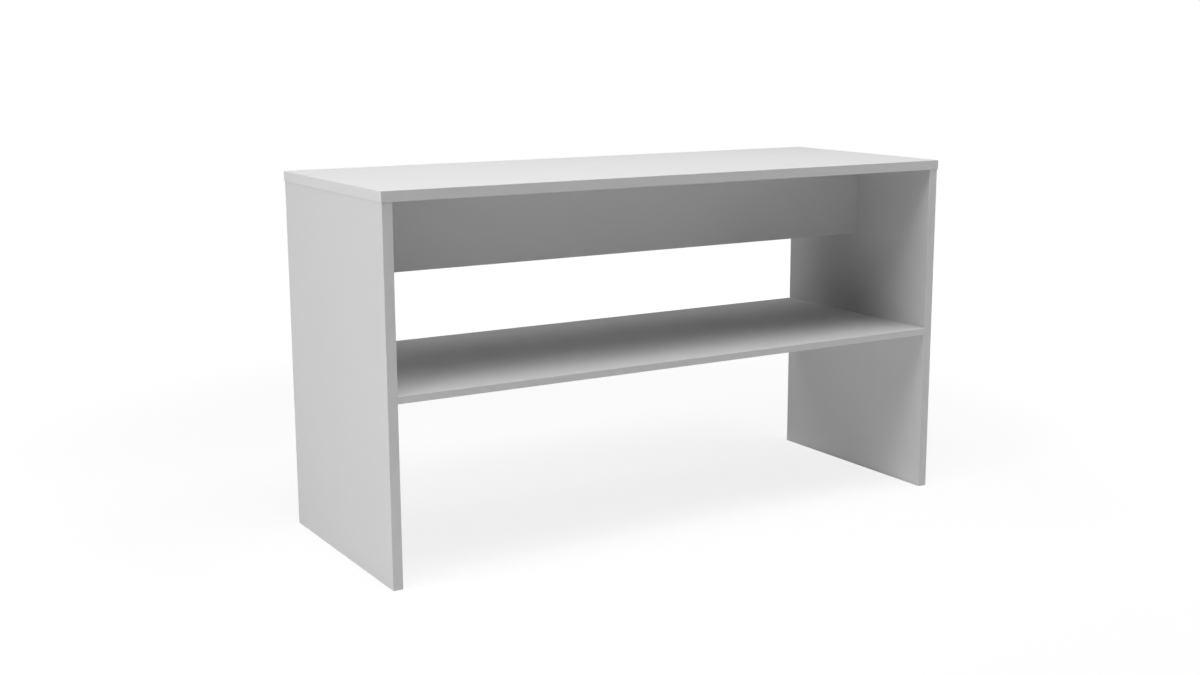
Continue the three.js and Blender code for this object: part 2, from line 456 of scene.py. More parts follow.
def cross_tools(middle: Vector, axis: int, length: float, width: float, depth: float) -> Iterator[Workpiece]:
    """Makes the tools for a driver's cross.

    Args:
        middle: The middle of the face that the cross is sunk into.
        axis: The axis that it is sunk along.
        length: The length of its bars.
        width: The width of its bars.
        depth: Its depth.

    Yields:
        Each of the two bars.
    """
    for sides in ((length, width), (width, length)):
        half = [side / 2 for side in sides]
        half.insert(axis, depth)
        yield Workpiece.block("cross_bar", middle - Vector(half), middle + Vector(half))


# Nodes


def opened(owner: bpy.types.Material | bpy.types.World) -> bpy.types.NodeTree:
    """Lets a material or a world use nodes."""
    owner.use_nodes = True
    return owner.node_tree


class NodeSheet:
    """The nodes of one material, world or shader group. A value is a number or the socket that gives it."""

    def __init__(self, tree: bpy.types.NodeTree) -> None:
        """Takes up a node tree and empties it."""
        self.tree = tree
        self.tree.nodes.clear()

    def feed(self, node: bpy.types.Node, inputs: Inputs) -> None:
        """Feeds a node.

        Args:
            node: The node.
            inputs: The value of each input, by its name or number.
        """
        for name, value in inputs.items():
            if isinstance(value, Socket):
                self.tree.links.new(value, node.inputs[name])
            else:
                node.inputs[name].default_value = value

    def add(self, kind: str, inputs: Inputs | None = None, **settings: Any) -> Outputs:
        """Adds a node.

        Args:
            kind: The node's type, without the leading "ShaderNode".
            inputs: The value of each input, by its name or number.
            **settings: The node's settings.

        Returns:
            The new node's outputs.
        """
        node = self.tree.nodes.new(f"ShaderNode{kind}")
        for name, value in settings.items():
            setattr(node, name, value)
        self.feed(node, inputs or {})
        return node.outputs

    def math(self, operation: str, first: Any, second: Any = 0.0) -> Socket:
        """Works out one value from two."""
        return self.add("Math", {0: first, 1: second}, operation=operation)[0]

    def average(self, first: Any, second: Any) -> Socket:
        """Gives the mean of two values."""
        return self.math("MULTIPLY", self.math("ADD", first, second), 0.5)

    def remap(self, value: Any, source: Sequence[float], target: Sequence[float], **settings: Any) -> Socket:
        """Spreads one range of a value over another, and keeps it inside."""
        ends = {"From Min": source[0], "From Max": source[1], "To Min": target[0], "To Max": target[1]}
        return self.add("MapRange", {"Value": value, **ends}, **settings)[0]

    def stretch(self, value: Any, low: float, high: float) -> Socket:
        """Spreads a value from 0 to 1 over another range."""
        return self.remap(value, (0.0, 1.0), (low, high))

    def ripple(self, along: Any, pitch: float, low: float, high: float) -> Socket:
        """Adds ripples of a pitch, with a flat at the low value between two of them."""
        turns = self.math("MULTIPLY", along, math.tau / (pitch * MM))
        return self.stretch(self.math("SINE", turns), low, high)

    def noise(self, place: Any, scale: Any, detail: float, rough: float = 0.5, bent: float = 0.0) -> Socket:
        """Adds a noise from 0 to 1."""
        form = {"Scale": scale, "Detail": detail, "Roughness": rough, "Distortion": bent}
        return self.add("TexNoise", {"Vector": place, **form})["Fac"]

    def blend(self, share: Any, first: Any, second: Any, kind: str = "MIX") -> Socket:
        """Blends a share of a second colour into a first one."""
        return self.add("Mix", {0: share, 6: first, 7: second}, data_type="RGBA", blend_type=kind)[2]

    def grey(self, tone: Any) -> Socket:
        """Makes a grey of a tone."""
        return self.add("CombineColor", {0: tone, 1: tone, 2: tone})[0]


class EffectSheet(NodeSheet):
    """The nodes of a shader group that reads a place and some plain values."""

    def __init__(self, name: str, values: Sequence[str], outputs: Sequence[str]) -> None:
        """Starts the group.

        Args:
            name: The group's name.
            values: The names of its inputs besides the place.
            outputs: The names of its outputs, which are all plain values.
        """
        tree = bpy.data.node_groups.new(name, "ShaderNodeTree")
        tree.interface.new_socket("Place", in_out="INPUT", socket_type="NodeSocketVector")
        for way, titles in (("INPUT", values), ("OUTPUT", outputs)):
            for title in titles:
                tree.interface.new_socket(title, in_out=way, socket_type="NodeSocketFloat")
        super().__init__(tree)
        self.given = tree.nodes.new("NodeGroupInput").outputs
        self.place = self.given["Place"]

    def close(self, results: Mapping[str, Socket]) -> bpy.types.NodeTree:
        """Gives the results out and finishes the group."""
        self.feed(self.tree.nodes.new("NodeGroupOutput"), results)
        return self.tree


@dataclass
class Effects:
    """The shader groups that more than one finish uses."""

    patch_scale: float = 0.13  # the fineness of the stipple's patches beside that of its bumps
    patch_heights: tuple[float, float] = (0.55, 1.45)  # of its bumps in the lowest and highest patches
    smear_scale: float = 3.1  # the fineness of the wiping's smears beside that of its clouds
    pit_scale: float = 0.4  # the fineness of the metal's pits beside that of its grain
    pit_reach: float = 0.22  # how far a pit reaches in its cell

    def __post_init__(self) -> None:
        """Builds each group once."""
        self.stipple = self._stipple()
        self.wiping = self._wiping()
        self.metal_grain = self._metal_grain()

    def _stipple(self) -> bpy.types.NodeTree:
        """Makes the low irregular bumps of a pressed or rolled surface.

        Returns:
            A group with the bumps' Height, and a Sheen that is lower in the hollows between them.
        """
        sheet = EffectSheet("stipple", ["Pitch"], ["Height", "Sheen"])
        scale = sheet.math("DIVIDE", 1.0, sheet.given["Pitch"])
        patch_scale = sheet.math("MULTIPLY", scale, self.patch_scale)
        bumps = sheet.noise(sheet.place, scale, detail=2.0, rough=0.45)
        patches = sheet.noise(sheet.place, patch_scale, detail=1.0)
        height = sheet.math("MULTIPLY", bumps, sheet.stretch(patches, *self.patch_heights))
        return sheet.close({"Height": height, "Sheen": bumps})

    def _wiping(self) -> bpy.types.NodeTree:
        """Makes the faint cloudiness that wiping and handling leave.

        Returns:
            A group with a Tone that multiplies a colour, and a Sheen from 0 to 1.
        """
        sheet = EffectSheet("wiping", ["Spread", "Amount"], ["Tone", "Sheen"])
        scale = sheet.math("DIVIDE", 1.0, sheet.given["Spread"])
        smear_scale = sheet.math("MULTIPLY", scale, self.smear_scale)
        clouds = sheet.noise(sheet.place, scale, detail=3.0, bent=0.4)
        smears = sheet.noise(sheet.place, smear_scale, detail=4.0, bent=1.2)
        swing = sheet.math("MULTIPLY", sheet.math("SUBTRACT", clouds, 0.5), sheet.given["Amount"])
        return sheet.close({"Tone": sheet.math("ADD", swing, 1.0), "Sheen": smears})

    def _metal_grain(self) -> bpy.types.NodeTree:
        """Makes the grain of a cast or plated metal, with small pits.

        Returns:
            A group with the grain's Height and a Sheen from 0 to 1.
        """
        sheet = EffectSheet("metal_grain", ["Pitch", "Pits"], ["Height", "Sheen"])
        scale = sheet.math("DIVIDE", 1.0, sheet.given["Pitch"])
        pit_scale = sheet.math("MULTIPLY", scale, self.pit_scale)
        grain = sheet.noise(sheet.place, scale, detail=4.0, rough=0.6)
        cells = sheet.add("TexVoronoi", {"Vector": sheet.place, "Scale": pit_scale})
        pits = sheet.remap(cells["Distance"], (0.0, self.pit_reach), (-1.0, 0.0))
        height = sheet.math("ADD", grain, sheet.math("MULTIPLY", pits, sheet.given["Pits"]))
        return sheet.close({"Height": height, "Sheen": grain})


# Finishes


def linear(colour: Colour) -> tuple[float, float, float, float]:
    """Turns a colour as it is seen into one that a shader takes, with an opacity of 1."""
    return (*Color(colour).from_srgb_to_scene_linear(), 1.0)


class FinishSheet(NodeSheet):
    """The nodes of one finish, with the place on the table and the wiping that each of them has."""

    def __init__(self, tree: bpy.types.NodeTree, effects: Effects, spread: float, amount: float) -> None:
        """Starts the finish.

        Args:
            tree: The material's node tree.
            effects: The shared shader groups.
            spread: The size of a wiped patch.
            amount: How far a patch changes the colour.
        """
        super().__init__(tree)
        self.effects = effects
        self.place = self.add("TexCoord")["Object"]
        self.wiping = self.apply(effects.wiping, Spread=spread * MM, Amount=amount)

    def apply(self, effect: bpy.types.NodeTree, **values: float) -> Outputs:
        """Places a shared effect with its own values, and gives its outputs."""
        return self.add("Group", {"Place": self.place, **values}, node_tree=effect)

    def own_place(self) -> Socket:
        """Gives the place on the piece's model, which a copy keeps wherever it is put."""
        return self.add("Attribute", attribute_name=OWN_PLACE)["Vector"]


@dataclass(frozen=True)
class Finish:
    """What every finish has. The colour is written as it is seen."""

    name: str
    colour: Colour
    roughness: float
    swing: float  # how far the roughness strays
    relief: float  # the height of the bumps
    cloud_spread: float
    cloud_amount: float
    specular: float = 0.5
    metallic: float = 0.0

    def material(self, effects: Effects) -> bpy.types.Material:
        """Builds the material.

        Args:
            effects: The shared shader groups.

        Returns:
            The material.
        """
        material = bpy.data.materials.new(self.name)
        sheet = FinishSheet(opened(material), effects, self.cloud_spread, self.cloud_amount)
        colour, height, sheen = self.surface(sheet)
        shader = sheet.add(
            "BsdfPrincipled",
            {
                "Base Color": sheet.blend(1.0, colour, sheet.grey(sheet.wiping["Tone"]), "MULTIPLY"),
                "Metallic": self.metallic,
                "Roughness": sheet.stretch(sheen, self.roughness - self.swing, self.roughness + self.swing),
                "Specular IOR Level": self.specular,
                "Normal": sheet.add("Bump", {"Height": height, "Distance": self.relief * MM})[0],
            },
        )
        sheet.add("OutputMaterial", {"Surface": shader[0]})
        return material

    def surface(self, sheet: FinishSheet) -> Look:
        """Gives the colour, the bumps' height, and a value from 0 to 1 that the roughness follows."""
        raise NotImplementedError


@dataclass(frozen=True)
class MelamineFace(Finish):
    """Satin white melamine, pressed with a fine stipple."""

    name: str = "satin_melamine"
    colour: Colour = (0.855, 0.855, 0.855)
    roughness: float = 0.74
    swing: float = 0.12
    relief: float = 0.05
    cloud_spread: float = 320.0
    cloud_amount: float = 0.03
    specular: float = 0.25
    stipple_pitch: float = 1.1

    def surface(self, sheet: FinishSheet) -> Look:
        """Gives the plain colour, the stipple, and a sheen that both the stipple and the wiping change."""
        stipple = sheet.apply(sheet.effects.stipple, Pitch=self.stipple_pitch * MM)
        return linear(self.colour), stipple["Height"], sheet.average(sheet.wiping["Sheen"], stipple["Sheen"])


@dataclass(frozen=True)
class EdgeBand(Finish):
    """White plastic edge band, with the router's chatter marks on its rounded arrises."""

    name: str = "plastic_band"
    colour: Colour = (0.872, 0.872, 0.872)
    roughness: float = 0.66
    swing: float = 0.08
    relief: float = 0.02
    cloud_spread: float = 180.0
    cloud_amount: float = 0.02
    specular: float = 0.25
    stipple_pitch: float = 0.7
    chatter_pitch: float = 1.8
    chatter_depth: float = 0.02
    arris_polish: float = 0.5  # how far down an arris lies on the range of the roughness

    def surface(self, sheet: FinishSheet) -> Look:
        """Makes the rolled face and the arrises.

        Args:
            sheet: The finish's sheet.

        Returns:
            The plain colour, the stipple with the chatter marks, and a sheen that is smoother on the arrises.
        """
        arris = sheet.add("Attribute", attribute_name=ARRIS_MASK)["Fac"]
        stipple = sheet.apply(sheet.effects.stipple, Pitch=self.stipple_pitch * MM)
        along = sheet.add("VectorMath", {0: sheet.place, 1: (1.0, 1.0, 1.0)}, operation="DOT_PRODUCT")
        chatter = sheet.ripple(along["Value"], self.chatter_pitch, 0.0, self.chatter_depth / self.relief)
        height = sheet.math("ADD", stipple["Height"], sheet.math("MULTIPLY", chatter, arris))
        polish = sheet.math("MULTIPLY", arris, self.arris_polish)
        return linear(self.colour), height, sheet.math("SUBTRACT", sheet.wiping["Sheen"], polish)


@dataclass(frozen=True)
class RawChipboard(Finish):
    """The cut chipboard of bores and bare edges."""

    name: str = "raw_chipboard"
    colour: Colour = (0.78, 0.66, 0.48)
    roughness: float = 0.85
    swing: float = 0.1
    relief: float = 0.12
    cloud_spread: float = 30.0
    cloud_amount: float = 0.25
    dark_chip: Colour = (0.52, 0.38, 0.24)
    chip_size: float = 1.6
    chip_flatness: float = 2.2
    fibre_scale: float = 2600.0

    def surface(self, sheet: FinishSheet) -> Look:
        """Makes the chips, which lie flat, and the fibres in them.

        Args:
            sheet: The finish's sheet.

        Returns:
            The chips' colours, their relief, and a sheen from the fibres.
        """
        flat = sheet.add("Mapping", {"Vector": sheet.place, "Scale": (1.0, 1.0, self.chip_flatness)})[0]
        chips = sheet.add("TexVoronoi", {"Vector": flat, "Scale": 1 / (self.chip_size * MM)})
        chip = sheet.add("SeparateColor", {0: chips["Color"]})[0]
        fibres = sheet.noise(sheet.place, self.fibre_scale, detail=3.0)
        height = sheet.math("ADD", sheet.math("SUBTRACT", chip, chips["Distance"]), fibres)
        return sheet.blend(chip, linear(self.colour), linear(self.dark_chip)), height, fibres


@dataclass(frozen=True)
class CastZinc(Finish):
    """Die-cast zinc, slightly grainy."""

    name: str = "cast_zinc"
    colour: Colour = (0.66, 0.67, 0.68)
    roughness: float = 0.4
    swing: float = 0.16
    relief: float = 0.02
    cloud_spread: float = 6.0
    cloud_amount: float = 0.25
    metallic: float = 1.0
    grain_pitch: float = 0.5
    pits: float = 0.6

    def surface(self, sheet: FinishSheet) -> Look:
        """Gives the plain colour, the grain, and a sheen that both the grain and the wiping change."""
        grain = sheet.apply(sheet.effects.metal_grain, Pitch=self.grain_pitch * MM, Pits=self.pits)
        return linear(self.colour), grain["Height"], sheet.average(grain["Sheen"], sheet.wiping["Sheen"])


@dataclass(frozen=True)
class PlatedSteel(Finish):
    """Zinc-plated steel, with the fine rings that turning leaves round the piece."""

    name: str = "plated_steel"
    colour: Colour = (0.76, 0.77, 0.78)
    roughness: float = 0.28
    swing: float = 0.1
    relief: float = 0.008
    cloud_spread: float = 8.0
    cloud_amount: float = 0.15
    metallic: float = 1.0
    ring_pitch: float = 0.22
    ring_heights: tuple[float, float] = (0.4, 1.0)
    grain_pitch: float = 0.3
    grain_height: float = 0.5
    pits: float = 0.1

    def surface(self, sheet: FinishSheet) -> Look:
        """Makes the rings and the plating's grain.

        Args:
            sheet: The finish's sheet.

        Returns:
            The plain colour, the rings with the grain, and a sheen from the grain.
        """
        along = sheet.add("SeparateXYZ", {0: sheet.own_place()})[0]
        rings = sheet.ripple(along, self.ring_pitch, *self.ring_heights)
        grain = sheet.apply(sheet.effects.metal_grain, Pitch=self.grain_pitch * MM, Pits=self.pits)
        height = sheet.math("ADD", rings, sheet.math("MULTIPLY", grain["Height"], self.grain_height))
        return linear(self.colour), height, grain["Sheen"]


@dataclass(frozen=True)
class BareBeech(Finish):
    """Bare beech: its fine grain with short darker flecks, or the rings of a cut end."""

    name: str = "bare_beech"
    colour: Colour = (0.82, 0.67, 0.47)
    roughness: float = 0.72
    swing: float = 0.1
    relief: float = 0.04
    cloud_spread: float = 50.0
    cloud_amount: float = 0.3
    dark_grain: Colour = (0.62, 0.44, 0.28)
    dark_share: float = 0.6
    dark_depth: float = 0.5
    fleck_scale: Triple = (220.0, 2600.0, 2600.0)
    fleck_rim: tuple[float, float] = (0.1, 0.3)
    fibre_scale: Triple = (90.0, 1500.0, 1500.0)
    ring_scale: float = 260.0
    ring_shift: Triple = (0.0, 21.0, 9.0)  # from the rings' middle to the dowel's axis
    end_grain: bool = False

    def surface(self, sheet: FinishSheet) -> Look:
        """Makes the grain.

        Args:
            sheet: The finish's sheet.

        Returns:
            The light wood with the dark grain, their relief, and a sheen from the fibres.
        """
        own = sheet.own_place()
        dark = self._rings(sheet, own) if self.end_grain else self._flecks(sheet, own)
        stretched = sheet.add("Mapping", {"Vector": own, "Scale": self.fibre_scale})[0]
        fibres = sheet.noise(stretched, 1.0, detail=4.0)
        share = sheet.math("MULTIPLY", dark, self.dark_share)
        height = sheet.math("SUBTRACT", fibres, sheet.math("MULTIPLY", dark, self.dark_depth))
        return sheet.blend(share, linear(self.colour), linear(self.dark_grain)), height, fibres

    def _rings(self, sheet: FinishSheet, own: Socket) -> Socket:
        """Gives the growth rings, whose middle lies outside the dowel.

        Args:
            sheet: The finish's sheet.
            own: The place on the dowel.

        Returns:
            How dark the wood is, from 0 to 1.
        """
        shifted = sheet.add("Mapping", {"Vector": own, "Location": Vector(self.ring_shift) * MM})[0]
        form = {"Vector": shifted, "Scale": self.ring_scale, "Distortion": 1.5, "Detail": 2.0}
        return sheet.add("TexWave", form, wave_type="RINGS", rings_direction="X")["Fac"]

    def _flecks(self, sheet: FinishSheet, own: Socket) -> Socket:
        """Gives the flecks along the grain.

        Args:
            sheet: The finish's sheet.
            own: The place on the dowel.

        Returns:
            How dark the wood is, from 0 to 1.
        """
        long_cells = sheet.add("Mapping", {"Vector": own, "Scale": self.fleck_scale})[0]
        flecks = sheet.add("TexVoronoi", {"Vector": long_cells, "Scale": 1.0})
        return sheet.remap(flecks["Distance"], self.fleck_rim, (1.0, 0.0))


class Finishes:
    """Every finish of the table as a material."""

    def __init__(self) -> None:
        """Builds the shared effects and then the materials."""
        effects = Effects()
        self.melamine = MelamineFace().material(effects)
        self.band = EdgeBand().material(effects)
        self.chipboard = RawChipboard().material(effects)
        self.zinc = CastZinc().material(effects)
        self.steel = PlatedSteel().material(effects)
        self.beech = BareBeech().material(effects)
        self.beech_end = BareBeech(name="beech_end_grain", end_grain=True).material(effects)


# Boards


@dataclass(frozen=True)
class Bore:
    """A round hole, drilled into a board from outside its face."""

    bottom: Vector
    outside: Vector
    radius: float
    sides: int = 32
    shows: bool = False  # whether its mouth shows on the finished table

    def tool(self) -> Workpiece:
        """Makes the drill that cuts it."""
        return Workpiece.rod("drill", self.bottom, self.outside, self.radius, self.sides)


@dataclass
class BandedBoard:
    """A melamine board whose showing edges carry bands.

    The bands are put on in the order in which they are listed. The first ones run the board's full length and
    cover the ends of the later ones. Other boards hide the bare edges.
    """

    node: str = ""
    across: int = 2  # the axis through the thickness
    banded: tuple[Edge, ...] = ()
    bare: tuple[Edge, ...] = ()
    band_thickness: float = 2.0
    arris_radius: float = 1.5
    arris_steps: int = 5
    seam: float = 0.1  # half the width of the groove between a band and the board
    bores: list[Bore] = field(default_factory=list)
    core: Workpiece | None = None
    bands: dict[Edge, Workpiece] = field(default_factory=dict)

    def box(self) -> Box:
        """Gives the board's lowest and highest corners, with its bands."""
        raise NotImplementedError

    @staticmethod
    def corners(middle_x: float, bottom: float, size: Triple) -> Box:
        """Gives the lowest and highest corners of a box at mid-depth, from its size and where it stands."""
        low = Vector((middle_x - size[0] / 2, -size[1] / 2, bottom))
        return low, low + Vector(size)

    def build(self) -> None:
        """Rounds a block, saws the bands off it and drills what is left."""
        rest = Workpiece.block(f"{self.node}_board", *self.box())
        rest.round_edges(self._has_round_arris, self.arris_radius, self.arris_steps)
        for edge in self.bare:
            rest.round_edges(self._on_rim(edge, 0.0), self.seam)
        for edge in self.banded:
            seam_point = self._face_point(edge, self.band_thickness)
            band = rest.copy(f"{self.node}_edging_{edge.name.lower()}")
            band.saw(seam_point, -edge.outwards)
            rest.saw(seam_point, edge.outwards)
            for piece in (band, rest):
                piece.round_edges(self._on_rim(edge, self.band_thickness), self.seam)
            band.clean()
            self.bands[edge] = band

        # A bolt's bore runs into its cam's, the only kind that shows, and tools that touch can't cut together
        for shows in (True, False):
            rest.cut_with(*(bore.tool() for bore in self.bores if bore.shows is shows))
        rest.clean()
        self.core = rest

    def dress(self, finishes: Finishes) -> None:
        """Gives the board and its bands their materials and lets them stand for the CAD nodes.

        Args:
            finishes: The materials.
        """
        for edge, band in self.bands.items():
            band.mark_arrises()
            band.paint(finishes.band)
            band.polish()
            band.hand_over(f"{self.node}_band_{edge.name.lower()}", Slot.BAND)
        self.core.paint(finishes.melamine, finishes.chipboard, pick=self._board_finish)
        self.core.polish()
        self.core.hand_over(self.node, Slot.BOARD)

    def _face_point(self, edge: Edge, depth: float) -> Vector:
        """Gives a point under an edge's face.

        Args:
            edge: The edge.
            depth: How far under the face the point lies.

        Returns:
            The point.
        """
        low, high = self.box()
        point = (low + high) / 2
        point[edge.axis] = (high if edge.side > 0 else low)[edge.axis] - edge.side * depth
        return point

    def _has_round_arris(self, start: Vector, end: Vector) -> bool:
        """Tells the block's edges that get a round: those that no bare face bounds."""
        return not any(self._on_rim(edge, 0.0)(start, end) for edge in self.bare)

    def _on_rim(self, edge: Edge, depth: float) -> EdgeTest:
        """Makes a test for the rim of a face at a depth under an edge of the board."""
        return lies_at(edge.axis, self._face_point(edge, depth)[edge.axis])

    def _board_finish(self, face: bpy.types.MeshPolygon) -> int:
        """Tells melamine from chipboard by a face's place.

        Args:
            face: The face.

        Returns:
            0 for melamine and 1 for chipboard.
        """
        low, high = (corner[self.across] for corner in self.box())
        middle = face.center[self.across] / MM
        return 0 if min(middle - low, high - middle) < 2 * self.seam else 1


@dataclass
class Worktop(BandedBoard):
    """The worktop, which stands a hair proud of the side panels all round."""

    node: str = "worktop"
    banded: tuple[Edge, ...] = (Edge.FRONT, Edge.REAR, Edge.LEFT, Edge.RIGHT)
    width: float = 1600.0
    depth: float = 600.0
    thickness: float = 25.0
    underside: float = 875.0

    def box(self) -> Box:
        """Gives the board's lowest and highest corners, with its bands."""
        return self.corners(0.0, self.underside, (self.width, self.depth, self.thickness))


@dataclass
class SidePanel(BandedBoard):
    """A side panel, which stands straight on the floor and closes one end of the table."""

    hand: Hand = Hand.LEFT
    across: int = 0
    banded: tuple[Edge, ...] = (Edge.FRONT, Edge.REAR, Edge.BOTTOM)
    bare: tuple[Edge, ...] = (Edge.TOP,)
    inner_face: float = 773.0  # from the middle of the table
    depth: float = 596.0
    thickness: float = 25.0
    height: float = 875.0

    def __post_init__(self) -> None:
        """Names the node by its hand."""
        self.node = f"side_panel_{self.hand.label}"

    @property
    def face_x(self) -> float:
        """The place of the inner face along +X."""
        return self.hand.value * self.inner_face

    @property
    def middle_x(self) -> float:
        """The place of the middle of the thickness along +X."""
        return self.hand.value * (self.inner_face + self.thickness / 2)

    def box(self) -> Box:
        """Gives the board's lowest and highest corners, with its bands."""
        return self.corners(self.middle_x, 0.0, (self.thickness, self.depth, self.height))


@dataclass
class CentreRail(BandedBoard):
    """The rail that hangs under the worktop, at mid-depth between the side panels."""

    node: str = "centre_rail"
    across: int = 1
    banded: tuple[Edge, ...] = (Edge.BOTTOM,)
    bare: tuple[Edge, ...] = (Edge.LEFT, Edge.RIGHT, Edge.TOP)
    length: float = 1546.0
    thickness: float = 18.0
    height: float = 200.0
    top: float = 875.0

    def box(self) -> Box:
        """Gives the board's lowest and highest corners, with its bands."""
        return self.corners(0.0, self.top - self.height, (self.length, self.thickness, self.height))


@dataclass
class Shelf(BandedBoard):
    """The shelf between the side panels, as deep as they are."""

    node: str = "shelf"
    banded: tuple[Edge, ...] = (Edge.FRONT, Edge.REAR)
    bare: tuple[Edge, ...] = (Edge.LEFT, Edge.RIGHT)
    length: float = 1546.0
    depth: float = 596.0
    thickness: float = 18.0
    top: float = 446.0

    def box(self) -> Box:
        """Gives the board's lowest and highest corners, with its bands."""
        return self.corners(0.0, self.top - self.thickness, (self.length, self.depth, self.thickness))


# Fittings


@dataclass(frozen=True)
class Seat:
    """Where a fitting sits in a joint."""

    origin: Vector  # where its axis leaves the face of one board
    into: Vector  # the way into the edge of the other board
    opens: Vector  # the way that a cam's bore opens

    def matrix(self) -> Matrix:
        """Gives the turn and the move from a model's own frame to the table's, in metres."""
        turn = Matrix((self.into, self.opens.cross(self.into), self.opens)).transposed()
        return Matrix.Translation(self.origin * MM) @ turn.to_4x4()

    def at(self, along: float, up: float = 0.0) -> Vector:
        """Gives the point so far along the fitting's axis and so far up to the mouth of the cam's bore."""
        return self.origin + self.into * along + self.opens * up


@dataclass(frozen=True)
class FlutedDowel:
    """A beech dowel with straight flutes for the glue. Its own axis is +X."""

    radius: float = 4.0
    length: float = 30.0
    in_face: float = 10.0  # how much of its length is in the face of one board
    chamfer: float = 1.0
    chamfer_steps: int = 2
    flutes: int = 18
    flute_points: int = 4  # how many points of the round there are to a flute
    flute_depth: float = 0.3
    flute_aim: float = 0.05  # how near a point must be to a flute's middle, as a share of their spacing
    clearance: float = 0.15
    end_gap: float = 1.0

    def model(self) -> Workpiece:
        """Models the dowel in its own frame.

        Returns:
            The dowel.
        """
        start = -self.in_face
        end = self.length - self.in_face
        sides = self.flutes * self.flute_points
        dowel = Workpiece.rod("dowel_model", X_AXIS * start, X_AXIS * end, self.radius, sides)
        dowel.round_edges(lies_at(0, start, end), self.chamfer, self.chamfer_steps)
        share = 1 - self.flute_depth / self.radius
        dowel.squeeze(self._in_flute, Vector((1.0, share, share)), ORIGIN)
        dowel.clean()
        dowel.keep_own_place()
        return dowel

    def _in_flute(self, point: Vector) -> bool:
        """Tells the points at the bottom of a flute.

        Args:
            point: The point's place.

        Returns:
            Whether it is one.
        """
        turn = math.atan2(point.z, point.y) / math.tau * self.flutes
        on_side = math.hypot(point.y, point.z) > self.radius - NEAR
        return on_side and abs(turn - round(turn)) < self.flute_aim

    def bores(self, seat: Seat) -> tuple[list[Bore], list[Bore]]:
        """Gives the holes for one dowel.

        Args:
            seat: Where the dowel sits.

        Returns:
            The holes in the face of one board, and those in the edge of the other.
        """
        radius = self.radius + self.clearance
        face = Bore(seat.at(-self.in_face - self.end_gap), seat.at(DRILL_OVERRUN), radius)
        edge = Bore(seat.at(self.length - self.in_face + self.end_gap), seat.at(-DRILL_OVERRUN), radius)
        return [face], [edge]


